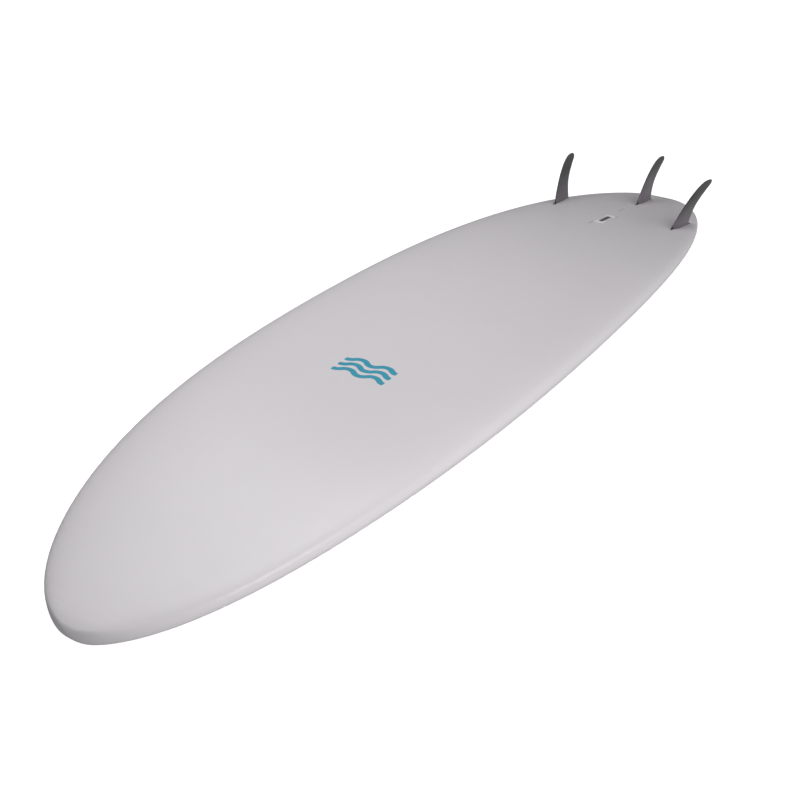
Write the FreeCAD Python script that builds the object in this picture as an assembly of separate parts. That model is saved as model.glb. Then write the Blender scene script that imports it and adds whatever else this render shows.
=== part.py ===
import FreeCAD, Part
import math
import os

from FreeCAD import Matrix, Vector

# A three-fin surfboard, lying deck down, in millimetres.
# +X points to the nose, +Z out of the bottom and +Y to the rider's right-hand rail.
# The origin is on the ground below the middle of the board.

# ---- driving dimensions: outline, from the tail tip (distance 0) to the nose tip
BOARD_LENGTH = 2032.0
BOARD_WIDTH = 536.0
WIDE_POINT = 1120.0         # distance from the tail tip
TAIL_FULLNESS = 163.0       # how far the outline runs straight out at the tail tip
NOSE_FULLNESS = 76.0        # the same at the nose tip
TAIL_HANDLE = 694.0         # how far the outline runs straight from the wide point to the tail
NOSE_HANDLE = 800.0         # the same to the nose

# ---- driving dimensions: rocker and thickness
FLAT_POINT = 1068.0         # distance from the tail tip where the bottom is level
NOSE_ROCKER = 76.6
NOSE_ROCKER_POWER = 3.4
TAIL_ROCKER = 76.6
TAIL_ROCKER_POWER = 2.107
THICKNESS = 65.7
TIP_THINNING = 0.516        # part of the thickness that is gone at the tips
THINNING_POWER = 2.645
TIP_ROUNDING = 0.16         # stretch of the outline parameter over which a tip rounds off

# ---- driving dimensions: cross-section
APEX_DEPTH = 0.346          # rail apex, as a part of the thickness below the bottom face
BOTTOM_FULLNESS = 0.951     # how square the section is, 1 being a sharp corner
BOTTOM_FULLNESS_TIPS = 0.874
DECK_FULLNESS = 0.761
SKIN = 1.5
STRINGER_WIDTH = 4.0

# ---- driving dimensions: fins, each in its own frame with the heel at the origin,
# X along the foot towards the toe, Z out of the board and Y across the fin
FIN_BASE = 108.5
FIN_CANT = 7.0              # degrees that a side fin's tabs and sockets lean outwards
SIDE_TOE = (348.0, 148.5)   # distance from the tail tip, distance from the centreline
SIDE_HEEL = (240.0, 158.5)
CENTER_TOE = (190.0, 0.0)
CENTER_HEEL = (81.5, 0.0)
LEADING_EDGE = [(101.0, 0.0), (96.0, 17.0), (44.0, 109.0), (-24.0, 106.0)]
TRAILING_EDGE = [(5.5, 0.0), (11.5, 46.0), (0.5, 54.0), (-45.0, 95.0)]
FIN_TIP = [[(-32.0, 105.7), (-45.2, 99.5)], [(-38.5, 104.6), (-43.2, 102.4)]]    # closing chords
FIN_THICKNESS = 6.4
FIN_TIP_THICKNESS = 1.6
FIN_TIP_SHARES = [0.85, 0.6]    # the closing chords' thickness, as parts of the tip's
TRAILING_THICKNESS = 0.8
OUTER_SHARE = 0.88          # part of a side fin's thickness on its outer side
FOIL_CREST = 0.55           # where the foil is fullest, as a part of its chord
NOSE_BULGE = 1 / 0.76       # the foil's two handles beside its thickness, for the right crest
CREST_BULGE = 1.65 / 0.76
FIN_SECTIONS = 12
FLAT_SHIFT = 2.6            # how far a side fin's flat inner face lies inside its foot's middle
FLAT_LEAN = 0.046           # how far the blade leans outwards from its tabs, per millimetre of height
FOOT_LENGTH = 114.0
FOOT_WIDTH = 10.0
FOOT_HEIGHT = 2.2
FOOT_GAP = 0.3
FOOT_TAPER = (12.0, 0.6)    # how much shorter the foot's top is, and its width as a part of the foot's
FOOT_ROOT = 4.0             # how far blade and foot start below the foot's plane, before they are trimmed
TAB_SIZE = (19.0, 5.4, 13.0)
TAB_SPACING = 54.0
TAB_ROOT = 1.5              # how far a tab reaches up into the blade
TAB_GAP = 0.2

# ---- driving dimensions: sockets, grub screws and their foam blocks
PLUG_RADIUS = 14.3
PLUG_DEPTH = 17.0
SLOT_DEPTH = 14.0
CUT_CLEARANCE = 6.0         # how far the cutters of a socket start above it
BORE_END = 12.5             # where the screw's bore ends, along its line
SCREW_RADIUS = 2.45
SCREW_BORE_RADIUS = 2.5
SCREW_TILT = 33.7           # degrees between the screw and the fin's plane
SCREW_OFFSET = 9.5          # from the fin's plane to the screw's mouth
SCREW_RECESS = 1.9
SCREW_LENGTH = 6.0
SCREW_POINT_RADIUS = 1.2
SCREW_POINT_LENGTH = 1.3
HEX_WIDTH = 2.5
HEX_DEPTH = 3.0
INSERT_SIZE = (118.0, 50.0, 24.0)
INSERT_CORNER = 8.0

# ---- driving dimensions: leash cup
LEASH_DISTANCE = 55.0       # from the tail tip
CUP_RADIUS = 14.5
CUP_HOLLOW_RADIUS = 11.5
CUP_DEPTH = 19.0
CUP_HOLLOW_DEPTH = 16.0
PIN_RADIUS = 2.0
PIN_LENGTH = 26.0
PIN_DEPTH = 6.0
LEASH_INSERT_RADIUS = 20.0
LEASH_INSERT_DEPTH = 24.0

# ---- how finely the hull's surfaces are defined along the board
LENGTH_POLES = 30
DEGREE = 3
REACH = 200.0               # more than the board's height, for slabs and probes
CUTTER_RISE = 20.0          # how far the sockets' and the cup's cutters stand out of the board
INSERT_RISE = 10.0          # the same for the foam blocks under the fins
PROBES = 2000               # steps in the search for the deck's lowest point


# ------------------------------------------------------------------ curves of the hull

def bezier(points, t):
    """Point and direction at t of the cubic through two ends with two handles."""
    a, b, c, d = points
    s = 1.0 - t
    point = tuple(s**3 * a[i] + 3 * s * s * t * b[i] + 3 * s * t * t * c[i] + t**3 * d[i]
                  for i in (0, 1))
    slope = tuple(3 * s * s * (b[i] - a[i]) + 6 * s * t * (c[i] - b[i]) + 3 * t * t * (d[i] - c[i])
                  for i in (0, 1))
    size = math.hypot(*slope)
    return point, (slope[0] / size, slope[1] / size)


def outline(s):
    """Distance from the tail and half-width: s is 0 at the tail, 1 at the wide point, 2 at the nose."""
    half = BOARD_WIDTH / 2
    if s <= 1.0:
        handles = [(0.0, 0.0), (0.0, TAIL_FULLNESS), (WIDE_POINT - TAIL_HANDLE, half), (WIDE_POINT, half)]
        return bezier(handles, s)
    handles = [(WIDE_POINT, half), (WIDE_POINT + NOSE_HANDLE, half),
               (BOARD_LENGTH, NOSE_FULLNESS), (BOARD_LENGTH, 0.0)]
    return bezier(handles, s - 1.0)


def rocker(distance):
    """Height of the bottom's centreline, 0 at the flat point and falling to both tips."""
    if distance > FLAT_POINT:
        part = (distance - FLAT_POINT) / (BOARD_LENGTH - FLAT_POINT)
        return -NOSE_ROCKER * part**NOSE_ROCKER_POWER
    part = (FLAT_POINT - distance) / FLAT_POINT
    return -TAIL_ROCKER * part**TAIL_ROCKER_POWER


def thickness(distance):
    """Full thickness at a distance from the tail tip, thinning towards both tips."""
    part = abs(2.0 * distance / BOARD_LENGTH - 1.0)
    return THICKNESS * (1.0 - TIP_THINNING * part**THINNING_POWER)


def station(s, inset):
    """The section at s, for the hull moved inwards by inset.

    Gives distance, half-width, height of the rail apex, rise to the bottom, drop to the deck
    and the fullness of the bottom half.
    """
    (distance, width), (along, across) = outline(s)
    distance = distance + inset * across
    width = width - inset * along
    full = thickness(distance)
    apex = rocker(distance) - APEX_DEPTH * full
    to_tip = min(s, 2.0 - s) / TIP_ROUNDING
    rounding = math.sin(math.pi / 2 * min(1.0, to_tip))
    rise = (APEX_DEPTH * full - inset) * rounding
    drop = ((1.0 - APEX_DEPTH) * full - inset) * rounding
    fullness = BOTTOM_FULLNESS + (BOTTOM_FULLNESS_TIPS - BOTTOM_FULLNESS) * (s - 1.0)**2
    return distance, width, apex, rise, drop, fullness


SPANS = LENGTH_POLES - DEGREE
LENGTH_KNOTS = [2.0 * i / SPANS for i in range(SPANS + 1)]
LENGTH_MULTS = [DEGREE + 1] + [1] * (SPANS - 1) + [DEGREE + 1]
KNOT_ROW = [LENGTH_KNOTS[0]] * DEGREE + LENGTH_KNOTS + [LENGTH_KNOTS[-1]] * DEGREE
STATIONS = [sum(KNOT_ROW[i + 1:i + 1 + DEGREE]) / DEGREE for i in range(LENGTH_POLES)]


def hull_faces(inset, side):
    """Half of the hull, as a left and a right face: side is 1 for the bottom and -1 for the deck."""
    faces = []
    for hand in (-1, 1):
        rows = []
        for s in STATIONS:
            distance, width, apex, rise, drop, fullness = station(s, inset)
            x = distance - BOARD_LENGTH / 2
            height = rise if side > 0 else -drop
            f = fullness if side > 0 else DECK_FULLNESS
            section = [(0, 1), (f, 1), (1, f), (1, 0)]
            rows.append([Vector(x, hand * width * y, apex + height * z) for y, z in section])
        surface = Part.BSplineSurface()
        columns = [list(column) for column in zip(*rows)]
        surface.buildFromPolesMultsKnots(columns, [4, 4], LENGTH_MULTS, [0, 1], LENGTH_KNOTS,
                                         False, False, 3, DEGREE)
        faces.append(surface.toShape())
    return faces


def rail_face(inset, side):
    """The thin strip between the outer rail apex and the one moved inwards by inset."""
    rows = []
    for s in STATIONS:
        row = []
        for depth in (0.0, inset):
            distance, width, apex = station(s, depth)[:3]
            row.append(Vector(distance - BOARD_LENGTH / 2, side * width, apex))
        rows.append(row)
    surface = Part.BSplineSurface()
    columns = [list(column) for column in zip(*rows)]
    surface.buildFromPolesMultsKnots(columns, [2, 2], LENGTH_MULTS, [0, 1], LENGTH_KNOTS,
                                     False, False, 1, DEGREE)
    return surface.toShape()


def closed_solid(faces):
    """A solid from faces that meet along all their edges."""
    shell = Part.makeShell(faces)
    shell.sewShape()
    solid = Part.makeSolid(Part.Shell(shell.Faces))
    if solid.Volume < 0:
        solid.reverse()
    return solid


def one_solid(shape):
    """The single solid that a cut or a common part leaves."""
    solids = shape.Solids
    assert len(solids) == 1, len(solids)
    return solids[0]


# ------------------------------------------------------------------ the board

BOTTOM = hull_faces(0.0, 1)
DECK = hull_faces(0.0, -1)
INNER_BOTTOM = hull_faces(SKIN, 1)
INNER_DECK = hull_faces(SKIN, -1)
RAILS = [rail_face(SKIN, 1), rail_face(SKIN, -1)]
BOARD = closed_solid(BOTTOM + DECK)
CORE = closed_solid(INNER_BOTTOM + INNER_DECK)


def lowest_point():
    """Height of the deck's lowest point, on the centreline near a tip."""
    heights = []
    for face in DECK:
        for step in range(PROBES + 1):
            heights.append(face.Surface.value(0.0, 2.0 * step / PROBES).z)
    return min(heights)


def board_point(distance, y, faces):
    """The point of the bottom or the deck at a distance from the tail tip and from the centreline."""
    x = distance - BOARD_LENGTH / 2
    probe = Part.makeLine(Vector(x, y, -REACH), Vector(x, y, REACH))
    return min((face.distToShape(probe) for face in faces), key=lambda found: found[0])[1][0][0]


def slab(y_low, y_high):
    """A box as long as the board and higher, between two distances from the centreline."""
    return Part.makeBox(BOARD_LENGTH + REACH, y_high - y_low, 2 * REACH,
                        Vector(-(BOARD_LENGTH + REACH) / 2, y_low, -REACH))


def upright_cylinder(radius, low, high, x=0.0, y=0.0):
    return Part.makeCylinder(radius, high - low, Vector(x, y, low), Vector(0, 0, 1))


def centered_box(size, x, y, top):
    """A box whose top face is centred at x, y."""
    length, width, depth = size
    return Part.makeBox(length, width, depth, Vector(x - length / 2, y - width / 2, top - depth))


# ------------------------------------------------------------------ fins and their sockets

class FinPlace:
    """Where a fin stands: out is 1 for the right fin, -1 for the left and 0 for the middle one."""

    def __init__(self, name, toe, heel, out):
        self.name = name
        self.out = out
        hand = out or 1
        toe_point = board_point(toe[0], hand * toe[1], BOTTOM)
        heel_point = board_point(heel[0], hand * heel[1], BOTTOM)
        cant = math.radians(FIN_CANT) * out
        lean = Vector(0, math.sin(cant), math.cos(cant))
        along = (toe_point - heel_point).normalize()
        up = (lean - along * lean.dot(along)).normalize()
        across = up.cross(along)
        self.up = up
        self.matrix = Matrix(along.x, across.x, up.x, heel_point.x,
                             along.y, across.y, up.y, heel_point.y,
                             along.z, across.z, up.z, heel_point.z,
                             0, 0, 0, 1)

    def place(self, shape):
        copy = shape.copy()
        copy.Placement = FreeCAD.Placement(self.matrix)
        return copy

    def plugs(self):
        """Names and positions along the foot of the fin's two sockets."""
        middle = FIN_BASE / 2
        return [("rear", middle - TAB_SPACING / 2), ("front", middle + TAB_SPACING / 2)]

    def screw_side(self):
        """Screws of the side fins face the centreline."""
        return -self.out if self.out else 1


def fin_section(t, out, drop=0.0):
    """A closed foil from the leading edge to the trailing edge at t, 0 at the foot and 1 at the tip."""
    (nose_x, nose_z), _ = bezier(LEADING_EDGE, t)
    (tail_x, tail_z), _ = bezier(TRAILING_EDGE, t)
    full = FIN_TIP_THICKNESS + (FIN_THICKNESS - FIN_TIP_THICKNESS) * (1.0 - t)
    return foil((nose_x, nose_z - drop), (tail_x, tail_z - drop), full, out)


def edge_point(x, height, out):
    """A point on a blade's edge: a side fin's edges lie in the plane of its flat inner face."""
    return Vector(x, -out * (FLAT_SHIFT - FLAT_LEAN * height), height)


def foil(nose, tail, full, out):
    """A foil between two edge points. A side fin has nearly all its thickness on its outer side."""
    nose_point = edge_point(nose[0], nose[1], out)
    tail_point = edge_point(tail[0], tail[1], out)
    half_tail = min(TRAILING_THICKNESS, full) / 2
    crest = nose_point + (tail_point - nose_point) * FOIL_CREST
    edges = []
    ends = []
    for side in (1, -1):
        share = 0.5
        if out:
            share = OUTER_SHARE if side == out else 1.0 - OUTER_SHARE
        bulge = full * share
        end = tail_point + Vector(0, side * half_tail, 0)
        curve = Part.BezierCurve()
        curve.setPoles([nose_point,
                        nose_point + Vector(0, side * bulge * NOSE_BULGE, 0),
                        crest + Vector(0, side * bulge * CREST_BULGE, 0),
                        end])
        edges.append(curve.toShape())
        ends.append(end)
    return Part.Wire([edges[0], Part.makeLine(ends[0], ends[1]), edges[1]])


def foot_outline(length, width, height):
    """A pointed oval around the middle of the fin's foot."""
    middle = FIN_BASE / 2
    rear = Vector(middle - length / 2, 0, height)
    front = Vector(middle + length / 2, 0, height)
    arcs = [Part.Arc(rear, Vector(middle, side * width / 2, height), front).toShape() for side in (1, -1)]
    return Part.Wire(arcs)


def fin(place):
    """Blade, foot and two tabs in one piece, the foot shaped to the board."""
    sections = [fin_section(0.0, place.out, FOOT_ROOT)]
    sections += [fin_section(i / FIN_SECTIONS, place.out) for i in range(FIN_SECTIONS + 1)]
    for share, (nose, tail) in zip(FIN_TIP_SHARES, FIN_TIP):
        sections.append(foil(nose, tail, FIN_TIP_THICKNESS * share, place.out))
    blade = Part.makeLoft(sections, True, False)
    shorter, narrower = FOOT_TAPER
    foot = Part.makeLoft([foot_outline(FOOT_LENGTH, FOOT_WIDTH, -FOOT_ROOT),
                          foot_outline(FOOT_LENGTH, FOOT_WIDTH, FOOT_GAP),
                          foot_outline(FOOT_LENGTH - shorter, FOOT_WIDTH * narrower, FOOT_HEIGHT)],
                         True, True)
    raised = BOARD.copy()
    raised.translate(place.up * FOOT_GAP)
    body = place.place(blade.fuse(foot)).cut(raised)
    tabs = []
    for _, x in place.plugs():
        length, width, depth = TAB_SIZE
        tab = centered_box((length, width, depth + TAB_ROOT), x, 0.0, TAB_ROOT)
        tabs.append(place.place(tab))
    return one_solid(body.fuse(tabs).removeSplitter())


def plug_blank(x):
    """The round block that a socket fills, standing out of the board before it is trimmed."""
    return upright_cylinder(PLUG_RADIUS, -PLUG_DEPTH, CUTTER_RISE, x)


def screw_line(x, side):
    """Where a grub screw's line meets the board's surface, and its direction inwards."""
    tilt = math.radians(SCREW_TILT)
    return Vector(x, side * SCREW_OFFSET, 0), Vector(0, -side * math.sin(tilt), -math.cos(tilt))


def screw_bore(x, side):
    """The cylinder that clears a grub screw."""
    mouth, line = screw_line(x, side)
    return Part.makeCylinder(SCREW_BORE_RADIUS, BORE_END + CUT_CLEARANCE, mouth - line * CUT_CLEARANCE, line)


def plug(place, x):
    """A round socket with a slot for the tab and a slanted bore for the grub screw."""
    length, width, _ = TAB_SIZE
    slot_size = (length + 2 * TAB_GAP, width + 2 * TAB_GAP, SLOT_DEPTH + CUT_CLEARANCE)
    slot = centered_box(slot_size, x, 0.0, CUT_CLEARANCE)
    bore = screw_bore(x, place.screw_side())
    body = place.place(plug_blank(x)).common(BOARD)
    return one_solid(body.cut([place.place(slot), place.place(bore)]))


def grub_screw(place, x):
    """A set screw with a hexagonal socket and a tapered point."""
    mouth, line = screw_line(x, place.screw_side())
    start = mouth + line * SCREW_RECESS
    shank_length = SCREW_LENGTH - SCREW_POINT_LENGTH
    shank = Part.makeCylinder(SCREW_RADIUS, shank_length, start, line)
    point = Part.makeCone(SCREW_RADIUS, SCREW_POINT_RADIUS, SCREW_POINT_LENGTH,
                          start + line * shank_length, line)
    ahead = Vector(1, 0, 0)
    beside = line.cross(ahead)
    reach = HEX_WIDTH / math.sqrt(3.0)
    corners = []
    for i in range(7):
        angle = math.radians(60 * i)
        corners.append(start + ahead * (reach * math.cos(angle)) + beside * (reach * math.sin(angle)))
    socket = Part.Face(Part.makePolygon(corners)).extrude(line * HEX_DEPTH)
    return one_solid(place.place(shank.fuse(point).removeSplitter().cut(socket)))


def fin_insert(place, cutters):
    """The dense foam block under a fin's sockets: its pocket in the core, and the block itself."""
    length, width, depth = INSERT_SIZE
    block = centered_box((length, width, depth + INSERT_RISE), FIN_BASE / 2, 0.0, INSERT_RISE)
    upright = [edge for edge in block.Edges if abs(edge.tangentAt(0.0).z) > 0.9]
    pocket = place.place(block.makeFillet(INSERT_CORNER, upright))
    return pocket, one_solid(pocket.common(CORE).cut(cutters))


# ------------------------------------------------------------------ leash cup

def leash_cup(x, deck):
    """A cup let into the deck, its rim flush with it, and a bar across its mouth."""
    body = upright_cylinder(CUP_RADIUS, deck - CUTTER_RISE, deck + CUP_DEPTH, x).common(BOARD)
    hollow = upright_cylinder(CUP_HOLLOW_RADIUS, deck - CUTTER_RISE, deck + CUP_HOLLOW_DEPTH, x)
    return one_solid(body.cut([hollow, leash_pin(x, deck)]))


def leash_pin(x, deck):
    """The bar across the cup that a leash string loops around."""
    start = Vector(x, -PIN_LENGTH / 2, deck + PIN_DEPTH)
    return Part.makeCylinder(PIN_RADIUS, PIN_LENGTH, start, Vector(0, 1, 0))


# ------------------------------------------------------------------ the whole board

def build():
    nodes = {}
    places = [FinPlace("left", SIDE_TOE, SIDE_HEEL, -1),
              FinPlace("right", SIDE_TOE, SIDE_HEEL, 1),
              FinPlace("center", CENTER_TOE, CENTER_HEEL, 0)]
    bottom_cutters = []
    core_cutters = []
    for place in places:
        blanks = [place.place(plug_blank(x)) for _, x in place.plugs()]
        bottom_cutters += blanks
        pocket, nodes["fin_insert_" + place.name] = fin_insert(place, blanks)
        core_cutters.append(pocket)
        nodes["fin_" + place.name] = fin(place)
        for end, x in place.plugs():
            nodes["plug_" + place.name + "_" + end] = plug(place, x)
            nodes["screw_" + place.name + "_" + end] = grub_screw(place, x)

    leash_x = LEASH_DISTANCE - BOARD_LENGTH / 2
    deck = board_point(LEASH_DISTANCE, 0.0, DECK).z
    cup_blank = upright_cylinder(CUP_RADIUS, deck - CUTTER_RISE, deck + CUP_DEPTH, leash_x)
    foam_blank = upright_cylinder(LEASH_INSERT_RADIUS, deck - CUTTER_RISE, deck + LEASH_INSERT_DEPTH,
                                  leash_x)
    nodes["leash_cup"] = leash_cup(leash_x, deck)
    nodes["leash_pin"] = leash_pin(leash_x, deck)
    nodes["leash_insert"] = one_solid(foam_blank.common(CORE).cut(cup_blank))
    core_cutters.append(foam_blank)

    nodes["bottom_skin"] = one_solid(closed_solid(BOTTOM + INNER_BOTTOM + RAILS).cut(bottom_cutters))
    nodes["deck_skin"] = one_solid(closed_solid(DECK + INNER_DECK + RAILS).cut(cup_blank))
    half = STRINGER_WIDTH / 2
    wide = BOARD_WIDTH
    for name, low, high in (("core_left", -wide, -half),
                            ("stringer", -half, half),
                            ("core_right", half, wide)):
        nodes[name] = one_solid(CORE.common(slab(low, high)).cut(core_cutters))
    return nodes


def export(nodes):
    os.makedirs("parts", exist_ok=True)
    rest = lowest_point()
    for name, shape in nodes.items():
        shape.translate(Vector(0, 0, -rest))
        shape.exportStep("parts/" + name + ".step")
        print(name, "valid" if shape.isValid() else "NOT VALID", round(shape.Volume / 1000.0, 2), "cm3")


export(build())
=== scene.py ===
# %% [markdown]
# # A three-fin surfboard, lying deck down
# The board is a foam core in a thin laminated skin. Its fins stand in sockets let into the bottom.
# The design model gives every piece's size and place. This lesson loads it as a fixed frame, prints
# the marks on the bottom, and gives each piece the finish that it has on a real board.

# %% Load the frame
import math

import bpy
from mathutils import Matrix, Vector


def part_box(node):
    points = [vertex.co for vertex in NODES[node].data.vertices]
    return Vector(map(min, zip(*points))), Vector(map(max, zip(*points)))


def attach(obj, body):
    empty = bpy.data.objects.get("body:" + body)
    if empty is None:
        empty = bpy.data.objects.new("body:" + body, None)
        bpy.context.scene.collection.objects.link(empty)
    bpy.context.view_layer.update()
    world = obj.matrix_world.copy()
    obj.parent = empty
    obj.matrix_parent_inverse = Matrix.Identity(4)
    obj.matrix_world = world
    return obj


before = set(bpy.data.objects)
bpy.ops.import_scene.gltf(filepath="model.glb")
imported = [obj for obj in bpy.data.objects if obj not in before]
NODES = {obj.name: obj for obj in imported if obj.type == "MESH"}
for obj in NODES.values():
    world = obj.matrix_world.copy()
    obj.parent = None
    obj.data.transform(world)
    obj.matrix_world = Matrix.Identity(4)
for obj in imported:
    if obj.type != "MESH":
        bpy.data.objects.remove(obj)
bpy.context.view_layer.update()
print("pieces in the frame:", len(NODES))

# %% [markdown]
# ## Camera
# A normal 50 mm lens looks down along the board from beyond its nose, on the rider's right.
# The camera is built from three directions, ahead, right and up, so that its slight roll is
# a plain number.

# %% Camera
LENS = 50.0
CAMERA_PLACE = Vector((1.7025, 0.9287, 0.9685))
CAMERA_TARGET = Vector((0.4047, 0.1048, 0.1055))
CAMERA_ROLL = 0.0195


def add_camera():
    ahead = (CAMERA_TARGET - CAMERA_PLACE).normalized()
    level = ahead.cross(Vector((0, 0, 1))).normalized()
    above = level.cross(ahead)
    right = level * math.cos(CAMERA_ROLL) + above * math.sin(CAMERA_ROLL)
    up = above * math.cos(CAMERA_ROLL) - level * math.sin(CAMERA_ROLL)
    bpy.ops.object.camera_add()
    camera = bpy.context.object
    camera.name = "camera"
    camera.data.lens = LENS
    camera.data.clip_end = 100.0
    turn = Matrix((right, up, -ahead)).transposed()
    camera.matrix_world = Matrix.Translation(CAMERA_PLACE) @ turn.to_4x4()
    bpy.context.scene.camera = camera
    return camera


print("camera:", add_camera().name)

# %% [markdown]
# ## Floor
# The floor is a wide plane, plain and nearly white. It glows a little, so that it stays white where
# no lamp reaches it, and it is hidden from the rays that light the board. Without that, a white
# floor would fill the dark underside of the rails with light.

# %% Floor
FLOOR_SIZE = 60.0
FLOOR_GLOW = 0.86


def add_floor():
    bpy.ops.object.select_all(action="DESELECT")
    bpy.ops.mesh.primitive_plane_add(size=FLOOR_SIZE, location=(0, 0, 0))
    floor = bpy.context.object
    floor.name = "studio_floor"
    floor.visible_diffuse = False
    floor.visible_glossy = False
    material = bpy.data.materials.new("studio_floor")
    material.use_nodes = True
    shader = material.node_tree.nodes["Principled BSDF"]
    shader.inputs["Base Color"].default_value = (0.5, 0.5, 0.5, 1)
    shader.inputs["Roughness"].default_value = 0.9
    shader.inputs["Specular IOR Level"].default_value = 0.1
    shader.inputs["Emission Color"].default_value = (1, 1, 1, 1)
    shader.inputs["Emission Strength"].default_value = FLOOR_GLOW
    floor.data.materials.append(material)
    return floor


print("floor:", add_floor().name)

# %% [markdown]
# ## Lamps and sky
# Two soft lamps hang low over the front half of the board, so the light falls off towards the
# tail, and a weaker one beyond the nose fills the shade on its far side. The sky is dim, but
# brighter on the rider's right, both low down, which lights the near rail, and a little above,
# which draws the soft highlight where the bottom rolls over into the rail. Its brightness is a
# sum of gradients over its direction, and the camera sees it plain white.

# %% Lamps
def add_lamp(name, place, target, size, power):
    """A rectangular soft lamp at place, facing target."""
    data = bpy.data.lights.new(name, "AREA")
    data.shape = "RECTANGLE"
    data.size, data.size_y = size
    data.energy = power
    lamp = bpy.data.objects.new(name, data)
    lamp.location = place
    direction = Vector(target) - Vector(place)
    lamp.rotation_mode = "QUATERNION"
    lamp.rotation_quaternion = direction.to_track_quat("-Z", "Y")
    bpy.context.scene.collection.objects.link(lamp)
    return lamp


add_lamp("right_softbox", (0.9, 1.5, 1.2), (0.3, 0.0, 0.1), (1.0, 1.0), 13.9)
add_lamp("top_softbox", (0.15, -0.5, 1.5), (0.1, 0.0, 0.1), (1.3, 1.3), 14.4)
add_lamp("nose_softbox", (2.1, -1.0, 0.9), (0.85, -0.05, 0.08), (0.9, 0.9), 4.7)

# %% Sky
SKY_FLOOR = 0.166           # brightness away from the bright sides
# For each bright side: its direction, the cosine where it begins, and the brightness it adds.
SKY_SIDES = [((0.0, 0.98, -0.17), -0.2, 0.738),
             ((-0.45, 0.85, 0.27), 0.3, 0.227)]


def add_sky():
    world = bpy.data.worlds.new("studio")
    bpy.context.scene.world = world
    world.use_nodes = True
    nodes, links = world.node_tree.nodes, world.node_tree.links
    sky = nodes["Background"]
    direction = nodes.new("ShaderNodeTexCoord")
    total = None
    for side, start, brightness in SKY_SIDES:
        towards = nodes.new("ShaderNodeVectorMath")
        towards.operation = "DOT_PRODUCT"
        towards.inputs[1].default_value = side
        links.new(direction.outputs["Generated"], towards.inputs[0])
        ramp = nodes.new("ShaderNodeMapRange")
        ramp.interpolation_type = "SMOOTHSTEP"
        ramp.inputs["From Min"].default_value = start
        ramp.inputs["From Max"].default_value = 1.0
        ramp.inputs["To Min"].default_value = 0.0
        ramp.inputs["To Max"].default_value = brightness
        links.new(towards.outputs["Value"], ramp.inputs["Value"])
        add = nodes.new("ShaderNodeMath")
        add.operation = "ADD"
        add.inputs[0].default_value = SKY_FLOOR
        if total:
            links.new(total, add.inputs[0])
        links.new(ramp.outputs["Result"], add.inputs[1])
        total = add.outputs[0]
    seen = nodes.new("ShaderNodeLightPath")
    pick = nodes.new("ShaderNodeMix")
    pick.data_type = "FLOAT"
    pick.inputs["B"].default_value = 1.0
    links.new(seen.outputs["Is Camera Ray"], pick.inputs["Factor"])
    links.new(total, pick.inputs["A"])
    sky.inputs["Color"].default_value = (1, 1, 1, 1)
    links.new(pick.outputs["Result"], sky.inputs["Strength"])
    bpy.context.scene.view_settings.view_transform = "Standard"


add_sky()
print("sky:", SKY_FLOOR, "plus", [brightness for _, _, brightness in SKY_SIDES])

# %% [markdown]
# ## Printed marks
# A board carries a print near its middle and a small label near the fins, both laid under the
# clear resin. They could be painted in the laminate's material, but a baked picture of a two-metre
# board would blur them. Here each mark is a thin sheet of its own. It is modelled flat above the
# board, dropped onto the bottom by a Shrinkwrap modifier, and given a fraction of a millimetre of
# thickness, so its edge stays crisp at any distance.

# %% Where the marks lie
bottom = NODES["bottom_skin"]
BOTTOM_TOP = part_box("bottom_skin")[1][2]
DRAW_HEIGHT = BOTTOM_TOP + 0.05     # marks are drawn flat here before they are dropped
PRINT_RISE = 0.00012                # how far a print stands proud of the laminate
PRINT_DEPTH = 0.0002
print("bottom's highest point:", round(BOTTOM_TOP, 4))


# %% Dropping a flat drawing onto the bottom
def apply_modifier(piece, kind, settings):
    """Adds one modifier, sets it up and applies it."""
    modifier = piece.modifiers.new(kind.lower(), kind)
    for key, value in settings.items():
        setattr(modifier, key, value)
    bpy.ops.object.modifier_apply(modifier=modifier.name)


def face_up(piece):
    """Turns a flat sheet's faces to point up."""
    bpy.ops.object.mode_set(mode="EDIT")
    bpy.ops.mesh.select_all(action="SELECT")
    bpy.ops.mesh.normals_make_consistent(inside=False)
    bpy.ops.object.mode_set(mode="OBJECT")
    if sum(face.normal.z for face in piece.data.polygons) < 0:
        bpy.ops.object.mode_set(mode="EDIT")
        bpy.ops.mesh.flip_normals()
        bpy.ops.object.mode_set(mode="OBJECT")


def lay_on_bottom(piece, rise=PRINT_RISE):
    """Drops the active flat piece onto the bottom and makes it a thin closed sheet."""
    bpy.ops.object.transform_apply(location=True, rotation=True, scale=True)
    face_up(piece)
    apply_modifier(piece, "SHRINKWRAP", {"target": bottom, "wrap_method": "PROJECT",
                                         "use_project_z": True, "use_negative_direction": True,
                                         "use_positive_direction": False, "offset": rise})
    apply_modifier(piece, "SOLIDIFY", {"thickness": PRINT_DEPTH, "offset": -1.0})
    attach(piece, "board")
    return piece


print("helpers ready")

# %% [markdown]
# ## Wave print
# The print is three equal waves, one above the other. Each wave is a strip that winds left and
# right in quarter turns. The Spin operator makes such bends: it sweeps the strip's end edge round
# a centre, and the next bend starts from the edge where the last one ended. A positive angle turns
# clockwise, seen from above, so each angle is given with its sign changed. The strip's corners are
# rounded by a vertex bevel. One wave is modelled and the others are copies with their own
# meshes.

# %% One wave
WAVE_PLACE = (0.353, 0.0)           # middle of the print
WAVE_SPAN = 0.104                   # across the board
WAVE_SPACING = 0.0195
WAVE_WIDTH = 0.0105
WAVE_LEAD = 0.003                   # straight start of the strip
BENDS = [1, -2, 2, -2, 1]           # eighths of a turn, left and right in turn
BEND_STEPS = 6                      # faces in an eighth of a turn
EIGHTH = math.pi / 4
WAVE_RADIUS = (WAVE_SPAN - WAVE_LEAD) / (2 * math.sin(EIGHTH) * (len(BENDS) - 1))


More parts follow.
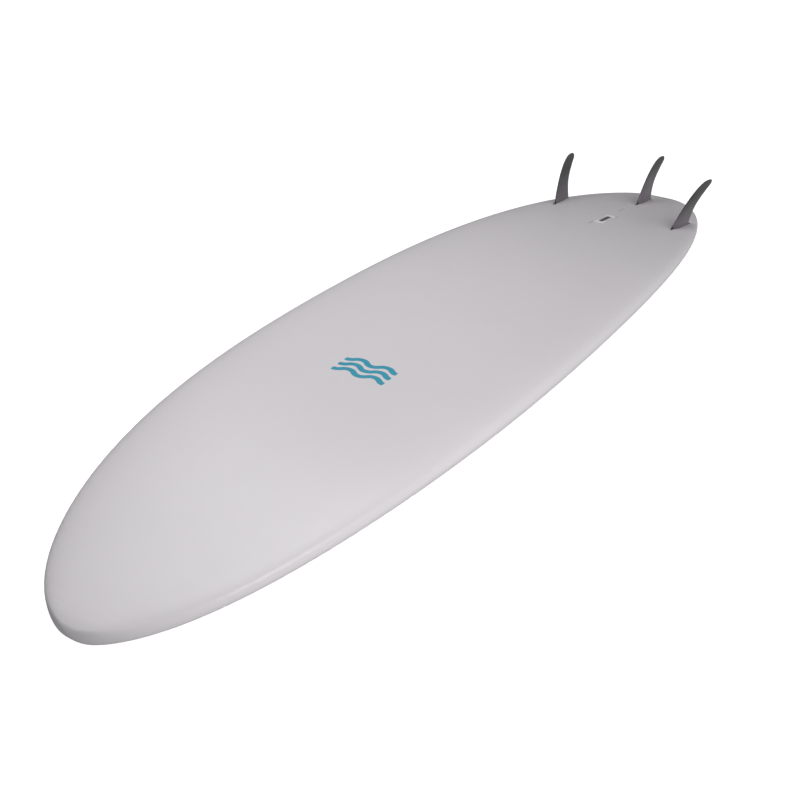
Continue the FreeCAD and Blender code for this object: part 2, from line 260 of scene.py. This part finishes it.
def wave_strip(name):
    """A flat strip that starts along +Y and bends as BENDS says, centred on the origin."""
    bpy.ops.object.select_all(action="DESELECT")
    start = Vector((0, -WAVE_SPAN / 2, DRAW_HEIGHT))
    bpy.ops.mesh.primitive_plane_add(size=1.0, location=start + Vector((0, WAVE_LEAD / 2, 0)))
    strip = bpy.context.object
    strip.name = name
    strip.scale = (WAVE_WIDTH, WAVE_LEAD, 1)
    bpy.ops.object.transform_apply(location=True, rotation=True, scale=True)
    ahead = max(vertex.co.y for vertex in strip.data.vertices) - WAVE_LEAD / 2
    bpy.ops.object.mode_set(mode="EDIT")
    bpy.ops.mesh.select_mode(type="VERT")
    bpy.ops.mesh.select_all(action="DESELECT")
    bpy.ops.object.mode_set(mode="OBJECT")
    for vertex in strip.data.vertices:
        vertex.select = vertex.co.y > ahead
    bpy.ops.object.mode_set(mode="EDIT")
    place = start + Vector((0, WAVE_LEAD, 0))
    heading = 0.0
    for bend in BENDS:
        left = Vector((-math.cos(heading), -math.sin(heading), 0))
        center = place + left * math.copysign(WAVE_RADIUS, bend)
        angle = bend * EIGHTH
        bpy.ops.mesh.spin(steps=BEND_STEPS * abs(bend), angle=-angle, center=center, axis=(0, 0, 1))
        place = center + Matrix.Rotation(angle, 3, "Z") @ (place - center)
        heading += angle
    bpy.ops.object.mode_set(mode="OBJECT")
    return strip


def round_ends(strip):
    """Rounds the strip's four corners, which are the vertices with only two edges."""
    uses = [0] * len(strip.data.vertices)
    for edge in strip.data.edges:
        for index in edge.vertices:
            uses[index] += 1
    bpy.ops.object.mode_set(mode="EDIT")
    bpy.ops.mesh.select_all(action="SELECT")
    bpy.ops.mesh.remove_doubles(threshold=1e-6)
    bpy.ops.mesh.select_all(action="DESELECT")
    bpy.ops.object.mode_set(mode="OBJECT")
    for vertex in strip.data.vertices:
        vertex.select = uses[vertex.index] == 2
    bpy.ops.object.mode_set(mode="EDIT")
    bpy.ops.mesh.bevel(offset=WAVE_WIDTH * 0.3, segments=4, affect="VERTICES")
    bpy.ops.object.mode_set(mode="OBJECT")


first_wave = wave_strip("print_wave_1")
round_ends(first_wave)
print("wave:", len(first_wave.data.vertices), "vertices,",
      "size", [round(v, 4) for v in first_wave.dimensions])

# %% Three waves on the bottom
def place_wave(strip, row):
    bpy.ops.object.select_all(action="DESELECT")
    strip.select_set(True)
    bpy.context.view_layer.objects.active = strip
    x = WAVE_PLACE[0] + row * WAVE_SPACING
    strip.location = (x, WAVE_PLACE[1], 0)
    return lay_on_bottom(strip)


waves = [first_wave]
for number in (2, 3):
    copy = bpy.data.objects.new("print_wave_" + str(number), first_wave.data.copy())
    bpy.context.scene.collection.objects.link(copy)
    waves.append(copy)
for row, wave in zip((-1, 0, 1), waves):
    place_wave(wave, row)
print("waves:", [wave.name for wave in waves])

# %% [markdown]
# ## Label and marks near the fins
# A pale film with a dark bar lies ahead of the middle fin, where a maker would print the board's
# size. Three short grey strokes beside it are a shaper's pencil marks. Each is a plane whose
# corners are rounded by a vertex bevel, with a narrow border inset all round. They are so small
# that the bottom is nearly flat under them. The bar lies on the film, so it stands a little higher.

# %% Label
LABEL_PLACE = (-0.640, -0.001)
FILM_SIZE = (0.080, 0.021)
BAR_SIZE = (0.052, 0.0095)


def rounded_rectangle(name, place, size, corner, turn=0.0):
    """A flat rectangle with round corners, above the bottom."""
    bpy.ops.object.select_all(action="DESELECT")
    bpy.ops.mesh.primitive_plane_add(size=1.0, location=(place[0], place[1], DRAW_HEIGHT))
    sheet = bpy.context.object
    sheet.name = name
    sheet.scale = (size[0], size[1], 1)
    sheet.rotation_euler = (0, 0, turn)
    bpy.ops.object.transform_apply(location=False, rotation=True, scale=True)
    bpy.ops.object.mode_set(mode="EDIT")
    bpy.ops.mesh.select_all(action="SELECT")
    bpy.ops.mesh.bevel(offset=corner, segments=5, affect="VERTICES")
    bpy.ops.mesh.select_all(action="SELECT")
    bpy.ops.mesh.inset(thickness=corner * 0.6)
    bpy.ops.object.mode_set(mode="OBJECT")
    return sheet


label_film = lay_on_bottom(rounded_rectangle("label_film", LABEL_PLACE, FILM_SIZE, 0.003))
label_bar = lay_on_bottom(rounded_rectangle("label_bar", LABEL_PLACE, BAR_SIZE, 0.0012), PRINT_RISE * 2)
print("label:", label_film.name, label_bar.name)

# %% Pencil marks
STROKES = [((-0.590, -0.014), (0.026, 0.0045)),
           ((-0.676, 0.0135), (0.012, 0.0045)),
           ((-0.752, -0.0065), (0.040, 0.0030))]

strokes = []
for number, (place, size) in enumerate(STROKES, start=1):
    stroke = rounded_rectangle("pencil_mark_" + str(number), place, size, size[1] * 0.4)
    strokes.append(lay_on_bottom(stroke))
print("marks:", [stroke.name for stroke in strokes])

# %% [markdown]
# ## Shared effects
# Several finishes use the same effects: slow changes of tone in cast resin, the weave of glass
# cloth, fine scratches, dust, small dents, and the cells of foam. Each is a node group with its own
# named inputs, built once. A group puts out only masks and heights. The material mixes its colours
# and its roughness with them.

# %% Building a group
def new_group(name, inputs, outputs):
    """An empty node group with float inputs and outputs, and a Vector input first."""
    group = bpy.data.node_groups.new(name, "ShaderNodeTree")
    group.interface.new_socket("Vector", in_out="INPUT", socket_type="NodeSocketVector")
    for label, value in inputs:
        socket = group.interface.new_socket(label, in_out="INPUT", socket_type="NodeSocketFloat")
        socket.default_value = value
    for label in outputs:
        group.interface.new_socket(label, in_out="OUTPUT", socket_type="NodeSocketFloat")
    return group, group.nodes.new("NodeGroupInput"), group.nodes.new("NodeGroupOutput")


def node(tree, kind, **values):
    """Adds a node. Lower-case values are its settings, the others its input sockets."""
    made = tree.nodes.new(kind)
    for key, value in values.items():
        if key[0].islower():
            setattr(made, key, value)
        else:
            fill_socket(tree, made.inputs[key.replace("_", " ")], value)
    return made


def fill_socket(tree, socket, value):
    """Links a socket to another one, or sets its value."""
    if isinstance(value, bpy.types.NodeSocket):
        tree.links.new(value, socket)
    else:
        socket.default_value = value


def maths(tree, operation, *values, clamp=False):
    """A Math node over plain numbers or sockets. Gives its output."""
    made = node(tree, "ShaderNodeMath", operation=operation, use_clamp=clamp)
    for socket, value in zip(made.inputs, values):
        fill_socket(tree, socket, value)
    return made.outputs[0]


def spread(tree, value, low, high):
    """Stretches the part of a value between low and high to run from 0 to 1."""
    made = node(tree, "ShaderNodeMapRange", From_Min=low, From_Max=high, Value=value)
    return made.outputs["Result"]


print("helpers ready")

# %% Cloudy tone
def make_cloudy():
    group, start, end = new_group("cloudy_tone", [("Scale", 5.0), ("Detail", 3.0)], ["Mask"])
    noise = node(group, "ShaderNodeTexNoise", Vector=start.outputs["Vector"],
                 Scale=start.outputs["Scale"], Detail=start.outputs["Detail"], Roughness=0.55)
    group.links.new(spread(group, noise.outputs["Fac"], 0.3, 0.7), end.inputs["Mask"])
    return group


cloudy = make_cloudy()
print("group:", cloudy.name)


# %% Glass cloth
def make_weave():
    """A plain weave: threads along X pass over and under threads along Y, Pitch apart."""
    group, start, end = new_group("glass_weave", [("Pitch", 0.0012)], ["Height", "Mask"])
    split = node(group, "ShaderNodeSeparateXYZ", Vector=start.outputs["Vector"])
    waves = []
    cells = []
    for axis in ("X", "Y"):
        place = maths(group, "DIVIDE", split.outputs[axis], start.outputs["Pitch"])
        turn = maths(group, "MULTIPLY", place, math.pi)
        waves.append(maths(group, "ABSOLUTE", maths(group, "SINE", turn)))
        cells.append(maths(group, "FLOOR", place))
    check = maths(group, "PINGPONG", maths(group, "ADD", cells[0], cells[1]), 1.0)
    blend = node(group, "ShaderNodeMix", data_type="FLOAT", Factor=check, A=waves[0], B=waves[1])
    group.links.new(blend.outputs["Result"], end.inputs["Height"])
    group.links.new(check, end.inputs["Mask"])
    return group


weave = make_weave()
print("group:", weave.name)


# %% Scratches
def make_scratches():
    """Fine scratches along X, broken up and scattered."""
    group, start, end = new_group("fine_scratches", [("Scale", 60.0), ("Amount", 0.5)], ["Mask"])
    longer = node(group, "ShaderNodeMapping", Vector=start.outputs["Vector"],
                  Rotation=(0, 0, 0.12), Scale=(0.03, 1.0, 1.0))
    lines = node(group, "ShaderNodeTexNoise", Vector=longer.outputs["Vector"],
                 Scale=maths(group, "MULTIPLY", start.outputs["Scale"], 12.0), Detail=2.0, Roughness=0.7)
    patches = node(group, "ShaderNodeTexNoise", Vector=start.outputs["Vector"],
                   Scale=maths(group, "MULTIPLY", start.outputs["Scale"], 0.15), Detail=2.0)
    thin = spread(group, lines.outputs["Fac"], 0.62, 0.72)
    where = spread(group, patches.outputs["Fac"], 0.48, 0.66)
    both = maths(group, "MULTIPLY", thin, where)
    mask = maths(group, "MULTIPLY", both, start.outputs["Amount"], clamp=True)
    group.links.new(mask, end.inputs["Mask"])
    return group


scratches = make_scratches()
print("group:", scratches.name)


# %% Specks of dust, and dents
def make_specks():
    """Round spots, one in most cells: a hard mask for specks and a soft height for dents."""
    group, start, end = new_group("specks", [("Scale", 40.0), ("Size", 0.08)], ["Mask", "Height"])
    cells = node(group, "ShaderNodeTexVoronoi", Vector=start.outputs["Vector"],
                 Scale=start.outputs["Scale"])
    luck = node(group, "ShaderNodeSeparateColor", Color=cells.outputs["Color"])
    reach = maths(group, "MULTIPLY", start.outputs["Size"], luck.outputs["Red"])
    share = maths(group, "DIVIDE", cells.outputs["Distance"], maths(group, "ADD", reach, 0.0001))
    inside = maths(group, "SUBTRACT", 1.0, share, clamp=True)
    group.links.new(maths(group, "GREATER_THAN", inside, 0.05), end.inputs["Mask"])
    smooth = maths(group, "SMOOTH_MIN", inside, 0.6, 0.3)
    group.links.new(smooth, end.inputs["Height"])
    return group


specks = make_specks()
print("group:", specks.name)


# %% Foam cells
def make_foam_cells():
    group, start, end = new_group("foam_cells", [("Scale", 400.0)], ["Height", "Mask"])
    cells = node(group, "ShaderNodeTexVoronoi", Vector=start.outputs["Vector"],
                 Scale=start.outputs["Scale"], feature="SMOOTH_F1", Smoothness=0.4)
    group.links.new(spread(group, cells.outputs["Distance"], 0.1, 0.75), end.inputs["Height"])
    tint = node(group, "ShaderNodeSeparateColor", Color=cells.outputs["Color"])
    group.links.new(tint.outputs["Red"], end.inputs["Mask"])
    return group


foam_cells = make_foam_cells()
print("group:", foam_cells.name)

# %% [markdown]
# ## Putting a finish together
# Every finish starts from the same sketch: a Principled shader, the piece's Object coordinates, and
# a few helpers that place a group, mix two colours by a mask, and stack bumps. Object coordinates
# are metres on the piece itself, so a pattern keeps its real scale and stays on the piece when the
# piece moves.

# %% The sketch of a finish
class Finish:
    """A new material with its shader and coordinates, and the steps that finishes share."""

    def __init__(self, name):
        self.material = bpy.data.materials.new(name)
        self.material.use_nodes = True
        self.tree = self.material.node_tree
        self.shader = self.tree.nodes["Principled BSDF"]
        self.place = node(self.tree, "ShaderNodeTexCoord").outputs["Object"]
        self.bump = None

    def group(self, tree, **values):
        """Places a shared effect, on the piece's coordinates unless told otherwise."""
        made = self.tree.nodes.new("ShaderNodeGroup")
        made.node_tree = tree
        self.tree.links.new(values.pop("Vector", self.place), made.inputs["Vector"])
        for key, value in values.items():
            made.inputs[key].default_value = value
        return made.outputs

    def mix(self, mask, low, high):
        """Goes from one colour to another as the mask goes from 0 to 1."""
        made = node(self.tree, "ShaderNodeMix", data_type="RGBA")
        fill_socket(self.tree, made.inputs["Factor"], mask)
        for socket, value in (("A", low), ("B", high)):
            target = [s for s in made.inputs if s.name == socket and s.type == "RGBA"][0]
            if not isinstance(value, bpy.types.NodeSocket):
                value = (*value, 1)
            fill_socket(self.tree, target, value)
        return [s for s in made.outputs if s.type == "RGBA"][0]

    def scale(self, mask, amount, base=0.0):
        """Base plus a share of the mask."""
        return maths(self.tree, "MULTIPLY_ADD", mask, amount, base)

    def raise_by(self, height, depth):
        """Adds a bump of this depth, in metres, on top of those before it."""
        made = node(self.tree, "ShaderNodeBump", Height=height, Strength=1.0, Distance=depth)
        if self.bump:
            self.tree.links.new(self.bump, made.inputs["Normal"])
        self.bump = made.outputs["Normal"]

    def done(self, color, roughness, **plain):
        """Links colour, roughness and bump, and sets the values that are the same all over."""
        fill_socket(self.tree, self.shader.inputs["Base Color"], color)
        fill_socket(self.tree, self.shader.inputs["Roughness"], roughness)
        for key, value in plain.items():
            self.shader.inputs[key.replace("_", " ")].default_value = value
        if self.bump:
            self.tree.links.new(self.bump, self.shader.inputs["Normal"])
        return self.material


print("sketch ready")

# %% [markdown]
# ## Laminate
# Glass cloth in tinted polyester resin covers the foam, and a clear coat of resin is sanded over
# it. From a distance it is an even pale grey. Close up its tone drifts a little, the cloth's
# threads just show, and the coat has fine scratches, dust and shallow dents from use. The bottom
# and the deck share one function, and the deck has more dents.

# %% Laminate
def laminate(name, tone, shade, dents, rough):
    finish = Finish(name)
    drift = finish.group(cloudy, Scale=3.5, Detail=3.0)["Mask"]
    fine = finish.group(cloudy, Scale=45.0, Detail=5.0)["Mask"]
    cloth = finish.group(weave, Pitch=0.0011)
    lines = finish.group(scratches, Scale=30.0, Amount=0.8)["Mask"]
    dust = finish.group(specks, Scale=55.0, Size=0.045)["Mask"]
    dented = finish.group(specks, Scale=9.0, Size=0.11)["Height"]
    color = finish.mix(drift, tone, shade)
    color = finish.mix(finish.scale(fine, 0.10), color, [part * 0.93 for part in tone])
    color = finish.mix(finish.scale(cloth["Height"], 0.06), color, [part * 1.12 for part in tone])
    color = finish.mix(finish.scale(dust, 0.35), color, [part * 0.55 for part in shade])
    roughness = finish.scale(fine, 0.06, rough)
    roughness = finish.scale(lines, 0.18, roughness)
    finish.raise_by(drift, 0.0004)
    finish.raise_by(finish.scale(dented, -1.0), dents)
    finish.raise_by(cloth["Height"], 0.000006)
    finish.raise_by(finish.scale(lines, -1.0), 0.00001)
    return finish.done(color, roughness, IOR=1.5, Coat_Weight=0.12, Coat_Roughness=0.22)


BOTTOM_TONE = (0.605, 0.580, 0.605)
BOTTOM_SHADE = (0.585, 0.562, 0.587)
bottom_laminate = laminate("bottom_laminate", BOTTOM_TONE, BOTTOM_SHADE, 0.00025, 0.34)
deck_laminate = laminate("deck_laminate", BOTTOM_TONE, BOTTOM_SHADE, 0.0006, 0.42)
print("finishes:", bottom_laminate.name, deck_laminate.name)

# %% [markdown]
# ## Fins
# The fins are milled from a dark glass and resin plate. The cloth's threads show faintly as a
# lighter and a darker square. Low down, where the blade is thick, its colour is painted lighter:
# painted light, as thrown up from the board. The pattern follows the blade's side, which is the X
# and Z of its coordinates, so these are swapped into the weave's X and Y. The sanded face has fine
# scratches and is a little rougher in patches. Round the two pointed ends of the foot, where the
# fin meets the board, the colour is darkened by painted shade, so each fin has its own material.
# The ends are found among the fin's own points: the foremost one, and the rearmost of those that
# stand hardly higher than it.

# %% Ends of a fin's foot
HEEL_RISE = 0.004                   # the heel is looked for no higher than this above the toe


def foot_ends(fin):
    """The toe and the heel of a fin's foot."""
    points = [vertex.co for vertex in fin.data.vertices]
    toe = max(points, key=lambda point: point.x)
    low = [point for point in points if point.z < toe.z + HEEL_RISE]
    heel = min(low, key=lambda point: point.x)
    return tuple(toe), tuple(heel)


fin_nodes = [name for name in NODES if name.startswith("fin_") and "insert" not in name]
for name in fin_nodes:
    print(name, [[round(v, 3) for v in end] for end in foot_ends(NODES[name])])

# %% Fins
# heights on the blade over which the painted light from the board fades out upwards
FIN_LOW = 0.065
FIN_HIGH = 0.130
SPOT_REACH = (0.013, 0.009)         # how far the painted shade spreads from the toe and from the heel
SPOT_EDGE = 0.006


def fin_composite(fin_name):
    finish = Finish(fin_name + "_composite")
    split = node(finish.tree, "ShaderNodeSeparateXYZ", Vector=finish.place)
    side = node(finish.tree, "ShaderNodeCombineXYZ", X=split.outputs["X"], Y=split.outputs["Z"],
                Z=split.outputs["Y"]).outputs["Vector"]
    cloth = finish.group(weave, Vector=side, Pitch=0.0016)
    patchy = finish.group(cloudy, Scale=28.0, Detail=4.0)["Mask"]
    lines = finish.group(scratches, Vector=side, Scale=45.0, Amount=1.0)["Mask"]
    dust = finish.group(specks, Scale=160.0, Size=0.06)["Mask"]
    # painted light: the blade's colour is lighter low down, near the board, and dark higher up
    upwards = spread(finish.tree, split.outputs["Z"], FIN_LOW, FIN_HIGH)
    color = finish.mix(upwards, (0.135, 0.118, 0.138), (0.013, 0.013, 0.014))
    color = finish.mix(finish.scale(cloth["Mask"], 0.10), color, (0.105, 0.098, 0.108))
    color = finish.mix(finish.scale(patchy, 0.15), color, (0.035, 0.032, 0.036))
    color = finish.mix(finish.scale(lines, 0.30), color, (0.16, 0.155, 0.16))
    color = finish.mix(finish.scale(dust, 0.40), color, (0.25, 0.245, 0.25))
    # painted shade: the fin's colour goes nearly black round the toe and the heel of its foot, where it
    # meets the board
    for end, reach in zip(foot_ends(NODES[fin_name]), SPOT_REACH):
        away = node(finish.tree, "ShaderNodeVectorMath", operation="DISTANCE", Vector=finish.place)
        away.inputs[1].default_value = end
        spot = spread(finish.tree, away.outputs["Value"], reach + SPOT_EDGE, reach)
        color = finish.mix(spot, color, (0.006, 0.006, 0.007))
    roughness = finish.scale(patchy, 0.10, 0.36)
    finish.raise_by(cloth["Height"], 0.000012)
    finish.raise_by(finish.scale(lines, -1.0), 0.00001)
    return finish.done(color, roughness, IOR=1.38)


fin_finishes = [(name, fin_composite(name)) for name in fin_nodes]
print("finishes:", [finish.name for _, finish in fin_finishes])

# %% [markdown]
# ## Sockets, cup and metal
# The sockets and the leash cup are moulded plastic with a fine, even grain. The sockets are the
# board's colour, because they are sanded flush and coated with it. The grub screws and the cup's
# bar are stainless steel with turning marks, and a little duller in patches.

# %% Moulded plastic
def moulded(name, tone, rough):
    finish = Finish(name)
    grain = finish.group(cloudy, Scale=900.0, Detail=2.0)["Mask"]
    patchy = finish.group(cloudy, Scale=60.0, Detail=3.0)["Mask"]
    lines = finish.group(scratches, Scale=120.0, Amount=0.8)["Mask"]
    color = finish.mix(finish.scale(patchy, 0.35), tone, [part * 0.86 for part in tone])
    color = finish.mix(finish.scale(lines, 0.25), color, [min(1.0, part * 1.3 + 0.03) for part in tone])
    roughness = finish.scale(grain, 0.12, rough)
    finish.raise_by(grain, 0.00002)
    return finish.done(color, roughness, IOR=1.5)


plug_plastic = moulded("plug_plastic", (0.56, 0.54, 0.56), 0.38)
cup_plastic = moulded("cup_plastic", (0.09, 0.088, 0.092), 0.42)
print("finishes:", plug_plastic.name, cup_plastic.name)


# %% Steel
def turned_steel(name, tone):
    finish = Finish(name)
    fine = finish.group(cloudy, Scale=2200.0, Detail=2.0)["Mask"]
    patchy = finish.group(cloudy, Scale=300.0, Detail=3.0)["Mask"]
    color = finish.mix(finish.scale(patchy, 0.5), tone, [part * 0.72 for part in tone])
    roughness = finish.scale(patchy, 0.18, 0.24)
    finish.raise_by(fine, 0.000006)
    return finish.done(color, roughness, Metallic=1.0)


screw_steel = turned_steel("screw_steel", (0.55, 0.54, 0.53))
pin_steel = turned_steel("pin_steel", (0.62, 0.61, 0.60))
print("finishes:", screw_steel.name, pin_steel.name)

# %% [markdown]
# ## Inside the board
# The foam and the wood are only seen with the skin taken off, but the board is built from them.
# Light foam fills it, denser foam holds the sockets, and a thin strip of wood runs down the middle.
# Foam is a mass of small cells with a matt surface. The wood's grain runs lengthwise: noise that is
# stretched along X and squeezed across.

# %% Foam
def foam(name, tone, shade, cell_scale):
    finish = Finish(name)
    cells = finish.group(foam_cells, Scale=cell_scale)
    drift = finish.group(cloudy, Scale=6.0, Detail=4.0)["Mask"]
    color = finish.mix(finish.scale(cells["Mask"], 0.5), tone, shade)
    color = finish.mix(finish.scale(drift, 0.4), color, shade)
    roughness = finish.scale(cells["Mask"], 0.1, 0.85)
    finish.raise_by(cells["Height"], 0.0003)
    return finish.done(color, roughness, Specular_IOR_Level=0.25)


light_foam = foam("light_foam", (0.80, 0.77, 0.66), (0.72, 0.68, 0.55), 900.0)
dense_foam = foam("dense_foam", (0.42, 0.50, 0.58), (0.34, 0.42, 0.50), 1600.0)
print("finishes:", light_foam.name, dense_foam.name)


# %% Wood
def strip_wood():
    finish = Finish("stringer_wood")
    longer = node(finish.tree, "ShaderNodeMapping", Vector=finish.place, Scale=(0.04, 1.0, 1.0))
    wide = finish.group(cloudy, Vector=longer.outputs["Vector"], Scale=60.0, Detail=4.0)["Mask"]
    fine = finish.group(cloudy, Vector=longer.outputs["Vector"], Scale=700.0, Detail=3.0)["Mask"]
    color = finish.mix(wide, (0.56, 0.37, 0.20), (0.36, 0.21, 0.10))
    color = finish.mix(finish.scale(fine, 0.45), color, (0.27, 0.15, 0.07))
    roughness = finish.scale(wide, 0.12, 0.55)
    finish.raise_by(fine, 0.0001)
    return finish.done(color, roughness, Specular_IOR_Level=0.35)


stringer_wood = strip_wood()
print("finish:", stringer_wood.name)

# %% [markdown]
# ## Inks and film
# The prints lie under the clear resin, so they have the laminate's gloss. Their ink is a little
# uneven, as from a screen, and the pencil marks are thin and patchy.

# %% Inks and film
def ink(name, tone, shade, patch_scale, rough=0.34):
    finish = Finish(name)
    patchy = finish.group(cloudy, Scale=patch_scale, Detail=4.0)["Mask"]
    cloth = finish.group(weave, Pitch=0.0011)
    color = finish.mix(patchy, tone, shade)
    paler = [min(1.0, part * 1.2) for part in tone]
    color = finish.mix(finish.scale(cloth["Height"], 0.08), color, paler)
    roughness = finish.scale(patchy, 0.08, rough)
    finish.raise_by(cloth["Height"], 0.000006)
    return finish.done(color, roughness, IOR=1.5, Coat_Weight=0.12, Coat_Roughness=0.22)


wave_ink = ink("wave_ink", (0.030, 0.285, 0.400), (0.024, 0.245, 0.350), 90.0)
film = ink("label_film", (0.78, 0.77, 0.78), (0.74, 0.73, 0.74), 60.0)
bar_ink = ink("label_ink", (0.085, 0.078, 0.085), (0.065, 0.060, 0.065), 200.0)
pencil = ink("pencil", (0.33, 0.31, 0.33), (0.50, 0.48, 0.50), 350.0)
print("inks:", wave_ink.name, film.name, bar_ink.name, pencil.name)

# %% [markdown]
# ## Giving every piece its finish
# A design node keeps its own mesh, and only its material slots change. A node's name says what it
# is made of, so a short table of name beginnings is enough.

# %% Finishes of the design nodes
FINISHES = [("bottom_skin", bottom_laminate), ("deck_skin", deck_laminate),
            ("core_", light_foam), ("stringer", stringer_wood),
            ("fin_insert", dense_foam), ("leash_insert", dense_foam),
            ("plug_", plug_plastic), ("screw_", screw_steel),
            ("leash_cup", cup_plastic), ("leash_pin", pin_steel)] + fin_finishes


def wear(piece, material):
    """Makes this the only material of a piece."""
    piece.data.materials.clear()
    piece.data.materials.append(material)


for name, piece in NODES.items():
    finish = next(material for start, material in FINISHES if name.startswith(start))
    wear(piece, finish)
    print(name, "->", finish.name)

# %% Finishes of the marks
for wave in waves:
    wear(wave, wave_ink)
wear(label_film, film)
wear(label_bar, bar_ink)
for stroke in strokes:
    wear(stroke, pencil)
print("marks finished:", len(waves) + len(strokes) + 2)
